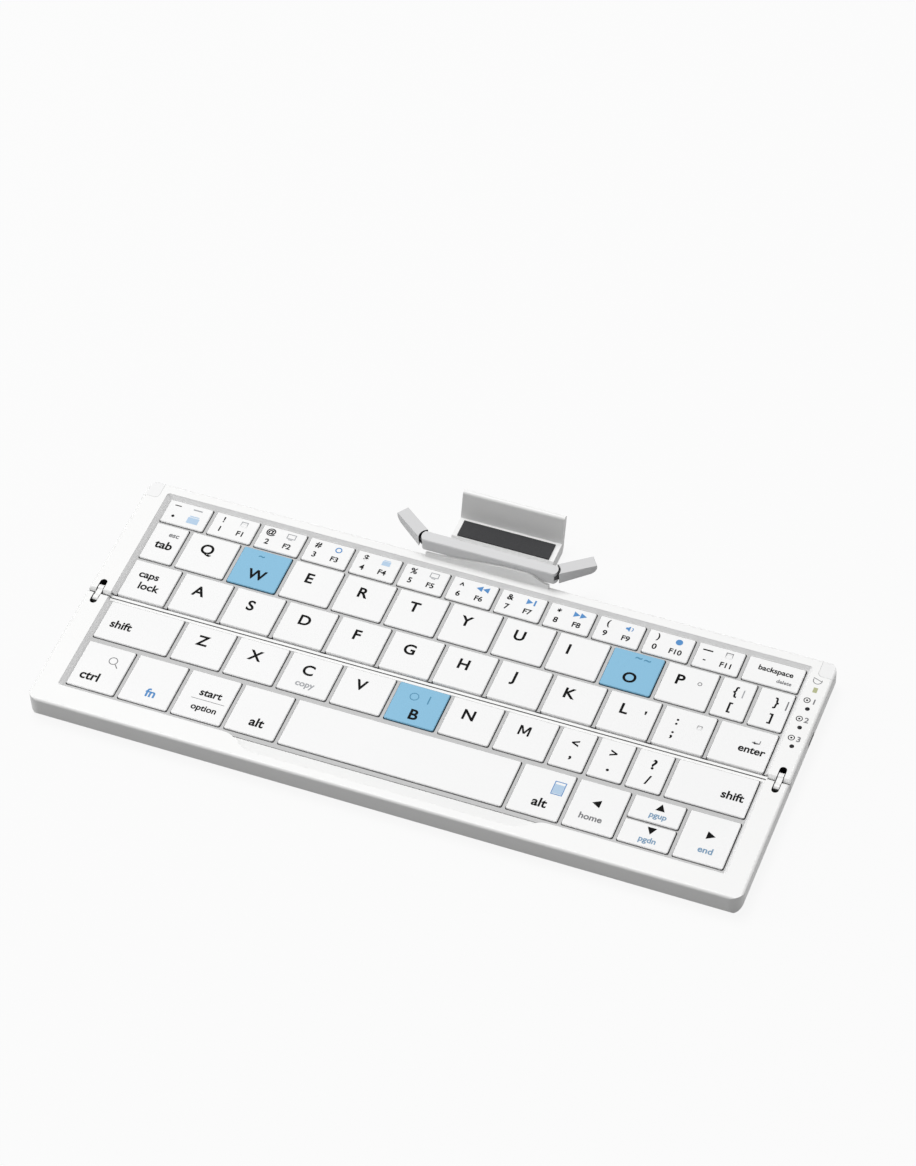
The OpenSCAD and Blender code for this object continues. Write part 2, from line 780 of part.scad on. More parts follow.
module rear_deck() {
    color(PALE_GREY) deck(rear_well, rear_setback, rear_caps, window_slit, window_fit);
}

module rear_membrane() {
    color([0.6, 0.65, 0.6]) membrane(rear_well);
}

module board(x, y) {
    box(x, y, [floor_top, floor_top + board_t]);
    translate([(x[0] + x[1] - chip_w) / 2, (y[0] + y[1] - chip_w) / 2, floor_top + board_t])
        cube([chip_w, chip_w, membrane_z - floor_top - board_t - chip_room]);
}

module circuit_boards() {
    y = [seam_in + ring_t + 2 * seat_fit, rear_well - ring_t];
    color([0.1, 0.35, 0.2]) {
        board([-inner_x, main_board_l - inner_x], y);
        board([inner_x - side_board_l, inner_x], y);
    }
}

module usb_socket() {
    color(STEEL) {
        on_usb(usb_sink, usb_depth) difference() {
            usb_outline(0);
            usb_outline(-usb_wall);
        }
        on_usb(usb_depth - usb_back, usb_depth) usb_outline(0);
    }
    color(BLACK) on_usb(usb_tongue_in, usb_depth - usb_back / 2)
        translate(-usb_tongue / 2) square(usb_tongue);
}

module indicator_lenses() {
    color(BLACK) lens_places() cylinder(h = lens_h, r = lens_r);
    color([0.8, 0.85, 0.4]) charge_lens(0);
}

module corner_caps() {
    color([0.9, 0.9, 0.9]) both_sides() corner_pad(cap_pad_fit);
}

module rear_feet() {
    feet(rear_y);
}

module rear_screws() {
    screws(rear_y);
    color(STEEL) bar_screw_places() screw(flange_t + bar_screw_l - screw_room);
}

module rear_hinge_pins() {
    both_sides() hinge_pin();
}

module power_switch() {
    flange_y = switch_y - switch_travel / 2;
    knob_y = switch_y - switch_slot[0] / 2 + switch_play;
    color(BLACK) {
        box([switch_in - switch_t, switch_in], around(flange_y, switch_flange_l / 2),
            [part_z + switch_fit, part_z + switch_slot[1] + switch_lip - switch_fit]);
        box([switch_in - EPS, body_x - switch_face], [knob_y, knob_y + switch_knob],
            [part_z + switch_fit, part_z + switch_slot[1] - switch_fit]);
    }
}

// ---------- phone bar, wings and pull-out rest ----------

module bar_profile() {
    translate([rear_y, bar_z]) difference() {
        square([bar_w, bar_h]);
        for (corner = [[0, bar_h], [bar_w, bar_h]]) translate(corner) rotate(45)
            square(bar_edge * [1, 1], center = true);
    }
}

module wing_pin() {
    translate([pivot_x, bar_y, bar_z + pin_cover])
        cylinder(h = bar_h - 2 * pin_cover, r = wing_pin_r);
}

module bar_screw_places() {
    for (x = [-bar_screw_x, bar_screw_x])
        translate([x, rear_y + flange_t, bar_screw_z]) rotate([90, 0, 0]) children();
}

// Both ends of the bar are round, with a slot for a wing's tongue
module stand_bar() {
    slot_h = tongue_t + 2 * tongue_play;
    slot_r = tongue_r + 2 * tongue_play;
    color(PALE_GREY) difference() {
        union() {
            intersection() {
                along_x(pivot_x + end_tip) bar_profile();
                union() {
                    both_sides() translate([pivot_x - end_back, bar_y, bar_z])
                        cylinder(h = bar_h, r = end_r);
                    box(around(0, pivot_x - end_back), around(bar_y, bar_w),
                        [bar_z, bar_top]);
                }
            }
            box(around(0, flange_l / 2), [rear_y, rear_y + flange_t], [flange_z, bar_z + bar_edge]);
        }
        both_sides() {
            translate([pivot_x, bar_y, bar_z + (bar_h - slot_h) / 2]) linear_extrude(slot_h) {
                circle(slot_r);
                translate([0, -slot_r]) square([bar_w, slot_r + bar_w]);
                translate([-slot_r * sin(wing_sweep), 0]) square(bar_w);
            }
            wing_pin();
        }
        bar_screw_places() {
            translate([0, 0, -OVER]) cylinder(h = flange_t + 2 * OVER, r = screw_r);
            translate([0, 0, -EPS]) cylinder(h = screw_head_h + EPS, r = screw_head_r);
        }
    }
}

module wing_pins() {
    color(STEEL) both_sides() wing_pin();
}

// Side view of a wing: its underside rises to the tip and rounds up into it
function wing_side() = concat(
    [[0, 0]],
    [for (a = [-90:FACET:0])
        [wing_l - tip_r + tip_r * cos(a), wing_taper + tip_r + tip_r * sin(a)]],
    [[wing_l, bar_h - bar_edge / 2], [wing_l - bar_edge / 2, bar_h], [0, bar_h]]);

// A wing is hollowed round the bar's end so that it clears it over its whole swing
module wing() {
    hollow = end_back * [-(1 + cos(wing_sweep)) / 2, sin(wing_sweep) / 2];
    hollow_r = end_r + end_back * sin(wing_sweep / 2) + wing_gap;
    color(PALE_GREY) translate([pivot_x, bar_y, bar_z]) rotate([0, 0, wing_sweep])
        difference() {
            union() {
                difference() {
                    along_y(-bar_r, bar_r) polygon(wing_side());
                    translate([hollow[0], hollow[1], -OVER])
                        cylinder(h = bar_h + 2 * OVER, r = hollow_r);
                }
                translate([0, 0, (bar_h - tongue_t) / 2]) {
                    cylinder(h = tongue_t, r = tongue_r);
                    translate([0, -tongue_r, 0]) cube([tongue_r + bar_r, 2 * tongue_r, tongue_t]);
                }
            }
            translate([0, 0, -OVER]) cylinder(h = bar_h + 2 * OVER, r = wing_pin_r + pin_fit);
        }
}

// Side view of the seat with its leaning upright
module rest_profile() {
    half = upright_t / 2 * [cos(lean), -sin(lean)];
    foot_y = upright_y + upright_t / cos(lean) + (base_z - seat_z) * tan(lean);
    polygon([
        [seat_y, slide_z], [seat_y + rest_foot, rest_gap], [foot_y - rest_foot, rest_gap], [foot_y, base_z],
        upright_tip + half, upright_tip - half, [upright_y, seat_z],
        [seat_y + rest_edge, seat_z], [seat_y, seat_z - rest_edge]]);
    translate(upright_tip) circle(upright_t / 2);
}

module phone_slide() {
    color(WHITE) difference() {
        union() {
            box([-slide_x, slide_x], [lug_y, seat_y + rest_foot], [slide_z, slide_z + slide_t]);
            both_sides() box([slide_x - EPS, slide_x + lug_w], [lug_y, lug_y + lug_l],
                             [slide_z, slide_z + slide_t]);
            along_x(slide_x - rest_side) rest_profile();
        }
        box(around(0, slide_x - pad_margin), [seat_y + pad_inset, upright_y - pad_inset],
            [seat_z - pad_sink, seat_z + OVER]);
    }
}

module slide_pads() {
    color(BLACK)
        box(around(0, slide_x - pad_margin), [seat_y + pad_inset, upright_y - pad_inset],
            [seat_z - pad_sink, seat_z - pad_sink + pad_t]);
}

// ---------- front half, drawn behind the fold and mirrored ----------

module in_front() {
    mirror([0, 1, 0]) children();
}

// Slope in front of the space bar that makes room for the thumbs
module thumb_bevel() {
    intersection() {
        translate([0, front_well, rim_z - bevel_d - OVER]) linear_extrude(bevel_d + 2 * OVER)
            polygon(hump(bevel_l, [bevel_run, bevel_run], bevel_w, OVER));
        along_x(bevel_l / 2) polygon([
            [front_well - OVER, rim_z - bevel_d], [front_well, rim_z - bevel_d],
            [front_well + bevel_w, rim_z], [front_well + bevel_w, rim_z + OVER],
            [front_well - OVER, rim_z + OVER]]);
    }
}

module front_shell() {
    color(WHITE) in_front() difference() {
        shell(front_y, front_well);
        thumb_bevel();
    }
}

module battery_place(grow) {
    y = (seam_in + front_well) / 2;
    box(around(0, battery_size[0] / 2 + grow), around(y, battery_size[1] / 2 + grow),
        [floor_top, membrane_z - EPS + grow]);
}

module front_cover() {
    wall = battery_fit + battery_wall;
    color(WHITE) in_front() {
        cover(front_y, front_well);
        difference() {
            translate([0, 0, -wall]) battery_place(wall);
            battery_place(battery_fit);
        }
    }
}

module front_deck() {
    color(PALE_GREY) in_front()
        deck(front_well, front_setback, [for (c = front_caps) [c[0], -c[1], c[2], c[3]]],
             window_fit, window_slit);
}

module front_membrane() {
    color([0.6, 0.65, 0.6]) in_front() membrane(front_well);
}

module battery() {
    color([0.75, 0.75, 0.78]) in_front() battery_place(0);
}

module front_feet() {
    in_front() feet(front_y);
}

module front_screws() {
    in_front() screws(front_y);
}

module front_hinge_pins() {
    in_front() both_sides() hinge_pin();
}

// ---------- assembly ----------

module place() {
    translate([0, -centre_y, 0]) children();
}

place() rear_shell();
place() rear_cover();
place() rear_deck();
place() rear_membrane();
place() circuit_boards();
place() usb_socket();
place() indicator_lenses();
place() corner_caps();
place() rear_feet();
place() rear_screws();
place() rear_hinge_pins();
place() stand_bar();
place() wing_pins();
place() power_switch();
place() mirror([1, 0, 0]) link();  // left_link
place() link();  // right_link
place() mirror([1, 0, 0]) wing();  // left_wing
place() wing();  // right_wing
place() phone_slide();
place() slide_pads();
place() front_shell();
place() front_cover();
place() front_deck();
place() front_membrane();
place() battery();
place() front_feet();
place() front_screws();
place() front_hinge_pins();
letter_keys(TOP, REAR_LETTERS);
letter_keys(HOME, HOME_LETTERS);
letter_keys(LOWER, LOWER_LETTERS);
place() space_bar();
place() enter_key();
place() number_keys();
place() rear_side_keys();
place() front_side_keys();
place() bottom_row_keys();
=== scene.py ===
"""Looks of the folding pocket keyboard: finishes, printed key legends, soft edges round the key
frames, floor, lights and camera.

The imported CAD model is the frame. Everything is in metres in its axes: X to the right, Y to the
back, Z up from the table. Legends are laid out in millimetres from the middle of their cap.
"""

import json
import math

import bmesh
import bpy
from mathutils import Matrix, Vector


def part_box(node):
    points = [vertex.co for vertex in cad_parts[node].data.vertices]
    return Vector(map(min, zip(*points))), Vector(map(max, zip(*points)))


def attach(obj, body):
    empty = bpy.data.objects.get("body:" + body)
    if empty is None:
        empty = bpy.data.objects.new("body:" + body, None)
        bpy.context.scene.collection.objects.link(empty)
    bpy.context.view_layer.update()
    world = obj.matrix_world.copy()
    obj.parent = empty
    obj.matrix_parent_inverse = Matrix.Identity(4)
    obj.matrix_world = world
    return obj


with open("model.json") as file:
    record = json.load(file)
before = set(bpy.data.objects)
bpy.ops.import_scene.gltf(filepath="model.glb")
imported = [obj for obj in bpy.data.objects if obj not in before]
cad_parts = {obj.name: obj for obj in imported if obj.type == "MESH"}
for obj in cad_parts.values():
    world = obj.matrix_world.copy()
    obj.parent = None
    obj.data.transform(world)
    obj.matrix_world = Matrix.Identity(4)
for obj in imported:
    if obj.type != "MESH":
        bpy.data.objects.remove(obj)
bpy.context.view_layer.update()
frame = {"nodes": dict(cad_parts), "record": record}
NODES = frame["nodes"]
BODY_OF = {part: body for body, parts in frame["record"]["behaviour"]["bodies"].items()
           for part in parts}
MM = 0.001

# ---------- places in the frame ----------

RIM_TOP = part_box("front_shell")[1].z
SEAM = 0.1 * MM             # from the fold line to the front half
FOLD_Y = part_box("front_shell")[1].y + SEAM
LEDGE = 1.2 * MM            # how far the decks' plates reach out under the rims
FRAME_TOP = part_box("rear_deck")[1].z
FRAME_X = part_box("rear_deck")[1].x - LEDGE
FRAME_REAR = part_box("rear_deck")[1].y - LEDGE
FRAME_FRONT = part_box("front_deck")[0].y + LEDGE
LINK_X = sum(corner.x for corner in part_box("right_link")) / 2
WING_PIN_Y = sum(corner.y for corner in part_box("wing_pins")) / 2

# ---------- materials ----------

# Scales are in features per metre: a scale of 4000 gives grains a quarter of a millimetre wide
GRAIN_SCALE = 4200
KEY_GRAIN_SCALE = 5500
MOTTLE_SCALE = 55
DRAWN_SCALE = 900
NOISE_RANGE = (0.3, 0.7)    # where most of a noise's values lie
PLASTIC_SPREAD = 0.06       # how far the roughness wanders to both sides
METAL_SPREAD = 0.08
DRAWN_DEPTH = 0.003 * MM
PLASTIC_IOR = 1.47


def node(tree, kind, inputs=None, **settings):
    """A new shader node, with its settings and its unlinked input values."""
    made = tree.nodes.new(kind)
    for key, value in settings.items():
        setattr(made, key, value)
    for socket, value in (inputs or {}).items():
        made.inputs[socket].default_value = value
    return made


def new_material(name):
    """A material, its node tree and its shader."""
    material = bpy.data.materials.new(name)
    material.use_nodes = True
    return material, material.node_tree, material.node_tree.nodes["Principled BSDF"]


def object_noise(tree, scale, detail, stretch=(1, 1, 1)):
    """The grey value of a noise that stays on the object as it moves."""
    coordinates = node(tree, "ShaderNodeTexCoord")
    mapping = node(tree, "ShaderNodeMapping", {"Scale": stretch})
    noise = node(tree, "ShaderNodeTexNoise", {"Scale": scale, "Detail": detail})
    tree.links.new(coordinates.outputs["Object"], mapping.inputs["Vector"])
    tree.links.new(mapping.outputs["Vector"], noise.inputs["Vector"])
    return noise.outputs["Fac"]


def between(tree, factor, low, high):
    """A number that runs from low to high with the factor."""
    limits = {"From Min": NOISE_RANGE[0], "From Max": NOISE_RANGE[1],
              "To Min": low, "To Max": high}
    scaled = node(tree, "ShaderNodeMapRange", limits)
    tree.links.new(factor, scaled.inputs["Value"])
    return scaled.outputs["Result"]


def blended(tree, factor, first, second):
    """A colour that runs from the first to the second with the factor. Either may be linked."""
    mix = node(tree, "ShaderNodeMix", data_type="RGBA")
    tree.links.new(factor, mix.inputs["Factor"])
    for socket, colour in (("A", first), ("B", second)):
        target = [s for s in mix.inputs if s.name == socket and s.type == "RGBA"][0]
        if isinstance(colour, tuple):
            target.default_value = (*colour, 1)
        else:
            tree.links.new(colour, target)
    return [s for s in mix.outputs if s.type == "RGBA"][0]


def bump(tree, height, depth):
    """A normal from a height of 0 to 1 that stands for the given depth in metres."""
    made = node(tree, "ShaderNodeBump", {"Strength": 1, "Distance": depth})
    tree.links.new(height, made.inputs["Height"])
    return made.outputs["Normal"]


def plastic(name, colour, roughness, grain=0.004 * MM, mottle=0.03, scale=GRAIN_SCALE,
            gloss=0.5):
    """Moulded plastic: a fine spark-eroded grain, slightly uneven in gloss and shade."""
    material, tree, shader = new_material(name)
    shade = tuple(c * (1 - mottle) for c in colour)
    clouds = object_noise(tree, MOTTLE_SCALE, 3)
    grains = object_noise(tree, scale, 2)
    links = tree.links
    links.new(blended(tree, clouds, colour, shade), shader.inputs["Base Color"])
    uneven = between(tree, grains, roughness - PLASTIC_SPREAD, roughness + PLASTIC_SPREAD)
    links.new(uneven, shader.inputs["Roughness"])
    links.new(bump(tree, grains, grain), shader.inputs["Normal"])
    shader.inputs["IOR"].default_value = PLASTIC_IOR
    shader.inputs["Specular IOR Level"].default_value = gloss
    return material


def metal(name, colour, roughness, stretch):
    """Bare metal with fine drawing lines across the stretched axes."""
    material, tree, shader = new_material(name)
    lines = object_noise(tree, DRAWN_SCALE, 3, stretch)
    shade = tuple(c * 0.8 for c in colour)
    links = tree.links
    links.new(blended(tree, lines, colour, shade), shader.inputs["Base Color"])
    uneven = between(tree, lines, roughness - METAL_SPREAD, roughness + METAL_SPREAD)
    links.new(uneven, shader.inputs["Roughness"])
    links.new(bump(tree, lines, DRAWN_DEPTH), shader.inputs["Normal"])
    shader.inputs["Metallic"].default_value = 1
    return material


def within(tree, value, middle, reach):
    """1 where a value lies within reach of the middle, else 0."""
    compare = node(tree, "ShaderNodeMath", {1: middle, 2: reach}, operation="COMPARE")
    tree.links.new(value, compare.inputs[0])
    return compare.outputs[0]


def product(tree, values):
    """All of the values multiplied."""
    result = values[0]
    for value in values[1:]:
        times = node(tree, "ShaderNodeMath", operation="MULTIPLY")
        tree.links.new(result, times.inputs[0])
        tree.links.new(value, times.inputs[1])
        result = times.outputs[0]
    return result


def own_axes(tree):
    """The object's own coordinates, with X counted from the middle to both sides."""
    coordinates = node(tree, "ShaderNodeTexCoord")
    axes = node(tree, "ShaderNodeSeparateXYZ")
    tree.links.new(coordinates.outputs["Object"], axes.inputs[0])
    side = node(tree, "ShaderNodeMath", operation="ABSOLUTE")
    tree.links.new(axes.outputs["X"], side.inputs[0])
    return [side.outputs[0], axes.outputs["Y"], axes.outputs["Z"]]


def paint(material, mask, colour):
    """Another colour where the mask is 1."""
    tree = material.node_tree
    shader = tree.nodes["Principled BSDF"]
    base = shader.inputs["Base Color"].links[0].from_socket
    tree.links.new(blended(tree, mask, base, colour), shader.inputs["Base Color"])


def paint_region(material, region, colour):
    """Another colour in a box: one (middle, reach) for each axis, or None where it is free."""
    tree = material.node_tree
    masks = [within(tree, value, *limits)
             for value, limits in zip(own_axes(tree), region) if limits]
    paint(material, product(tree, masks), colour)


def paint_round(material, middle, radius, colour):
    """Another colour within a radius of an upright axis."""
    tree = material.node_tree
    flat = node(tree, "ShaderNodeCombineXYZ")
    for value, socket in zip(own_axes(tree)[:2], flat.inputs):
        tree.links.new(value, socket)
    distance = node(tree, "ShaderNodeVectorMath", {1: (*middle, 0)}, operation="DISTANCE")
    tree.links.new(flat.outputs[0], distance.inputs[0])
    paint(material, within(tree, distance.outputs["Value"], 0, radius), colour)


DARK = (0.012, 0.012, 0.014)
WHITE = (0.86, 0.86, 0.855)
FRAME_GREY = (0.5, 0.5, 0.5)
SEAM_SHADE_GREY = (0.16, 0.16, 0.16)
CHARGE_GREEN = (0.45, 0.47, 0.27)

LOOKS = {
    "housing_white": plastic("housing_white", WHITE, 0.4),
    "key_white": plastic("key_white", (0.86, 0.86, 0.86), 0.5, grain=0.003 * MM,
                         scale=KEY_GRAIN_SCALE),
    "key_blue": plastic("key_blue", (0.2, 0.457, 0.65), 0.5, grain=0.003 * MM,
                        scale=KEY_GRAIN_SCALE),
    # The decks are near black as painted shade in the slits round the caps; the frames' top and
    # outer bands are painted grey further down
    "deck_grey": plastic("deck_grey", (0.05, 0.05, 0.052), 0.6, grain=0.008 * MM),
    "membrane_film": plastic("membrane_film", (0.34, 0.39, 0.34), 0.35, mottle=0.2),
    "board_green": plastic("board_green", (0.01, 0.085, 0.03), 0.3, mottle=0.4),
    "battery_foil": metal("battery_foil", (0.55, 0.55, 0.58), 0.35, (1, 1, 1)),
    "steel": metal("steel", (0.55, 0.55, 0.56), 0.3, (1, 12, 12)),
    "lens_dark": plastic("lens_dark", DARK, 0.3, grain=0.0005 * MM, gloss=0.1),
    "corner_grey": plastic("corner_grey", (0.83, 0.83, 0.83), 0.36),
    "rubber_black": plastic("rubber_black", (0.02, 0.02, 0.022), 0.75, grain=0.02 * MM),
    "stand_grey": plastic("stand_grey", (0.63, 0.63, 0.635), 0.36),
    "switch_black": plastic("switch_black", DARK, 0.45, grain=0.006 * MM),
}
# Pieces with materials of their own: the shells have painted shade in the recesses for the links
# and along the fold seam, a link has painted shade on its sides and ends but a white back, and a
# wing has painted shade in the hollow round the bar's end
SPECIAL = {
    "rear_shell": plastic("shell_white", WHITE, 0.4),
    "left_link": plastic("link_painted_shade", (0.05, 0.05, 0.05), 0.4),
    "left_wing": plastic("wing_grey", (0.6, 0.6, 0.605), 0.36),
}
SPECIAL["front_shell"] = SPECIAL["rear_shell"]
SPECIAL["right_link"] = SPECIAL["left_link"]
SPECIAL["right_wing"] = SPECIAL["left_wing"]
EDGE_GREY = plastic("edge_grey", (0.8, 0.8, 0.8), 0.6)
INK_COLOURS = {
    "black": (0.003, 0.003, 0.003), "grey": (0.22, 0.22, 0.23), "pale": (0.4, 0.41, 0.43),
    "blue": (0.11, 0.3, 0.62), "slate": (0.22, 0.36, 0.52), "sky": (0.5, 0.66, 0.84),
    "dim": (0.1, 0.29, 0.45),
}
INKS = {name: plastic(f"ink_{name}", colour, 0.8, grain=0.002 * MM, mottle=0.15, gloss=0.1)
        for name, colour in INK_COLOURS.items()}

for part in frame["record"]["subparts"]:
    look = SPECIAL.get(part["node"], LOOKS[part["material_slot"]])
    for slot in NODES[part["node"]].material_slots:
        slot.material = look

# ---------- painted regions ----------

# Each region has a (middle, reach) for the distance from the middle in X, for Y and for Z, or
# None where it is free
LINK_RECESS = [(LINK_X, 1.03 * MM), (FOLD_Y, 4.53 * MM), (5 * MM, 1.93 * MM)]
FOLD_SEAM = [None, (FOLD_Y, 0.2 * MM), None]
LINK_BACK = [(LINK_X, 0.74 * MM), (FOLD_Y, 2.8 * MM), None]
CHARGE_LENS = [None, (FOLD_Y + 32.2 * MM, 2 * MM), None]
FRAME_SKIN = 0.05 * MM      # depth of the key frames' grey at their top
FRAME_BAND = 0.8 * MM       # and its reach to both sides of their outer edges
KEY_FRAMES = [
    [None, None, (FRAME_TOP, FRAME_SKIN)],
    [(FRAME_X, FRAME_BAND), None, None],
    [None, (FRAME_REAR, FRAME_BAND), None],
    [None, (FRAME_FRONT, FRAME_BAND), None],
]
# Middle of the hollow in a wing round the bar's end, as the wing stands at rest
WING_HOLLOW = (17.863 * MM, WING_PIN_Y - 0.353 * MM)
WING_HOLLOW_R = 2.75 * MM

# Painted shade in the shells' recesses for the links
paint_region(SPECIAL["rear_shell"], LINK_RECESS, DARK)
# Painted shade along the fold seam, where the two halves meet
paint_region(SPECIAL["rear_shell"], FOLD_SEAM, SEAM_SHADE_GREY)
# A link is near black as painted shade on its sides and ends; only its back gets its own white
paint_region(SPECIAL["left_link"], LINK_BACK, WHITE)
# Painted shade in the wing's hollow round the bar's end
paint_round(SPECIAL["left_wing"], WING_HOLLOW, WING_HOLLOW_R, DARK)
# The frames' own grey on their top and outer bands; the near black elsewhere on the decks is
# painted shade in the slits
for region in KEY_FRAMES:
    paint_region(LOOKS["deck_grey"], region, FRAME_GREY)
paint_region(LOOKS["lens_dark"], CHARGE_LENS, CHARGE_GREEN)

# ---------- adding to the scene ----------


def add_object(name, data):
    made = bpy.data.objects.new(name, data)
    bpy.context.scene.collection.objects.link(made)
    return made


def add_piece(name, solid, materials, body):
    """A piece that rides on a body, made from a bmesh, which is used up."""
    mesh = bpy.data.meshes.new(name)
    solid.to_mesh(mesh)
    solid.free()
    for material in materials:
        mesh.materials.append(material)
    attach(add_object(name, mesh), body)


# ---------- legends ----------

PRINT_T = 0.02 * MM         # how far the ink stands out
CAP_HEIGHT = 0.682          # height of a capital of the built-in font at size 1
INK_WELD = 0.0001 * MM      # corners closer than this are joined
CAP_WELD = 0.001 * MM
STROKE = 0.026              # how much a letter's strokes are fattened, for a size of 1
ROUND_STEPS = 24            # corners of a full circle, and of an arc too
FONT_STEPS = 5              # corners of each curved stretch of a letter


def ring(radius, thickness, x=0, y=0):
    """Outer and inner circle of a ring."""
    turns = [2 * math.pi * i / ROUND_STEPS for i in range(ROUND_STEPS)]
    return [[(x + r * math.cos(t), y + r * math.sin(t)) for t in turns]
            for r in (radius, radius - thickness)]


def rectangle(x0, x1, y0, y1):
    return [(x0, y0), (x1, y0), (x1, y1), (x0, y1)]


def frame_of(x0, x1, y0, y1, line):
    """A rectangle drawn as a line."""
    return [rectangle(x0, x1, y0, y1),
            rectangle(x0 + line, x1 - line, y0 + line, y1 - line)]


def bar(start, end, width):
    """A straight stroke from one point to another."""
    (x0, y0), (x1, y1) = start, end
    length = math.hypot(x1 - x0, y1 - y0)
    dx, dy = (y0 - y1) / length * width / 2, (x1 - x0) / length * width / 2
    return [(x0 - dx, y0 - dy), (x1 - dx, y1 - dy), (x1 + dx, y1 + dy), (x0 + dx, y0 + dy)]


def arc_band(radius, thickness, start, end):
    """Part of a ring between two angles in degrees."""
    angles = [math.radians(start + (end - start) * i / ROUND_STEPS)
              for i in range(ROUND_STEPS + 1)]
    outer = [(radius * math.cos(a), radius * math.sin(a)) for a in angles]
    inner = [((radius - thickness) * math.cos(a), (radius - thickness) * math.sin(a))
             for a in reversed(angles)]
    return outer + inner


RIGHT_TRIANGLE = [(-0.45, -0.5), (0.45, 0), (-0.45, 0.5)]


def turned(loop, angle, x=0, y=0):
    cosine, sine = math.cos(math.radians(angle)), math.sin(math.radians(angle))
    return [(x + cosine * px - sine * py, y + sine * px + cosine * py) for px, py in loop]


# Small symbols as closed outlines, one unit high. The letter M is one of them, since the
# built-in font's own one doesn't fill cleanly when its strokes are fattened
ICONS = {
    "M": [[(-0.48, -0.5), (-0.48, 0.5), (-0.27, 0.5), (0, -0.1), (0.27, 0.5), (0.48, 0.5),
           (0.48, -0.5), (0.31, -0.5), (0.31, 0.2), (0.08, -0.32), (-0.08, -0.32), (-0.31, 0.2),
           (-0.31, -0.5)]],
    "right": [RIGHT_TRIANGLE],
    "up": [turned(RIGHT_TRIANGLE, 90)],
    "left": [turned(RIGHT_TRIANGLE, 180)],
    "down": [turned(RIGHT_TRIANGLE, 270)],
    "dash": [rectangle(-0.75, 0.75, -0.12, 0.12)],
    "ring": ring(0.5, 0.17),
    "thin_ring": ring(0.5, 0.09),
    "dot": [ring(0.5, 0)[0]],
    "target": ring(0.5, 0.13) + [ring(0.16, 0)[0]],
    "block": [rectangle(-0.6, 0.6, -0.5, 0.28), rectangle(-0.5, 0.5, 0.36, 0.5)],
    "screen": frame_of(-0.65, 0.65, -0.4, 0.5, 0.13) + [rectangle(-0.3, 0.3, -0.6, -0.47)],
    "window": frame_of(-0.5, 0.5, -0.5, 0.5, 0.13) + [rectangle(-0.37, 0.37, 0.08, 0.2)],
    "rewind": [turned(RIGHT_TRIANGLE, 180, -0.45), turned(RIGHT_TRIANGLE, 180, 0.5)],
    "forward": [turned(RIGHT_TRIANGLE, 0, -0.5), turned(RIGHT_TRIANGLE, 0, 0.45)],
    "play": [turned(RIGHT_TRIANGLE, 0, -0.25), rectangle(0.35, 0.6, -0.5, 0.5)],
    "sound": [[(-0.55, -0.18), (-0.3, -0.18), (0.05, -0.5), (0.05, 0.5), (-0.3, 0.18),
               (-0.55, 0.18)], turned(arc_band(0.42, 0.13, -55, 55), 0, 0.1)],
    "loupe": ring(0.36, 0.07, -0.12, 0.14) + [bar((0.15, -0.13), (0.42, -0.46), 0.08)],
    "return": [bar((-0.5, -0.15), (0.5, -0.15), 0.13), rectangle(0.37, 0.5, -0.08, 0.4),
               turned([(-0.25, -0.25), (0.25, 0), (-0.25, 0.25)], 180, -0.5, -0.15)],
    "sheet": frame_of(-0.36, 0.36, -0.5, 0.5, 0.055),
    "sheet_fill": [rectangle(-0.36, 0.36, -0.5, 0.36)],
    "plug": [turned(arc_band(0.5, 0.08, 160, 380), 0), bar((-0.52, 0.3), (0.42, -0.02), 0.08)],
    "line": [rectangle(-30, 30, -0.5, 0.5)],
    "stroke": [rectangle(-0.06, 0.06, -0.5, 0.5)],
}

# Printed on the number keys: shifted sign, plain sign, symbol with its ink, function name
NUMBER_LEGENDS = [
    ("!", "1", "window", "pale", "F1"), ("@", "2", "screen", "pale", "F2"),
    ("#", "3", "ring", "blue", "F3"), ("$", "4", "block", "sky", "F4"),
    ("%", "5", "screen", "pale", "F5"), ("^", "6", "rewind", "blue", "F6"),
    ("&", "7", "play", "blue", "F7"), ("*", "8", "forward", "blue", "F8"),
    ("(", "9", "sound", "blue", "F9"), (")", "0", "dot", "blue", "F10"),
    ("dash", "-", "window", "grey", "F11"),
]
SIGN_X, SYMBOL_X = -3.6, 2.4        # the two columns on a number key
UPPER_Y, LOWER_Y = 2.1, -1.4
LETTER_H = 3.3
WORD_H = 2.5

# Letters stand left of the middle of their caps, by these distances
LETTER_X = {"Q": -0.9, "W": 0, "E": -1.2, "R": -0.8, "T": -1.3, "Y": -1.7, "U": -1.8, "I": -3.2,
            "O": 0, "P": -2.4, "A": -1.2, "S": -1.3, "D": -0.8, "F": -1, "G": -1.2, "H": -1.1,
            "J": -2.4, "K": -1.7, "L": -1.8, "Z": -0.9, "X": -0.9, "C": -0.9, "V": -1.2, "B": 0.3,
            "N": -1.3, "M": -1}
LETTER_Y = 1.7
BLUE_LETTER_Y = {"W": -2, "O": -2.2, "B": -3.1}


def number_marks(upper, lower, icon, ink, function):
    """The four marks of one number key."""
    return [(upper, SIGN_X, UPPER_Y, 1.9, "black"), (lower, SIGN_X, LOWER_Y, 1.8, "black"),
            (icon, SYMBOL_X, UPPER_Y, 2, ink), (function, SYMBOL_X, LOWER_Y, 1.7, "black")]


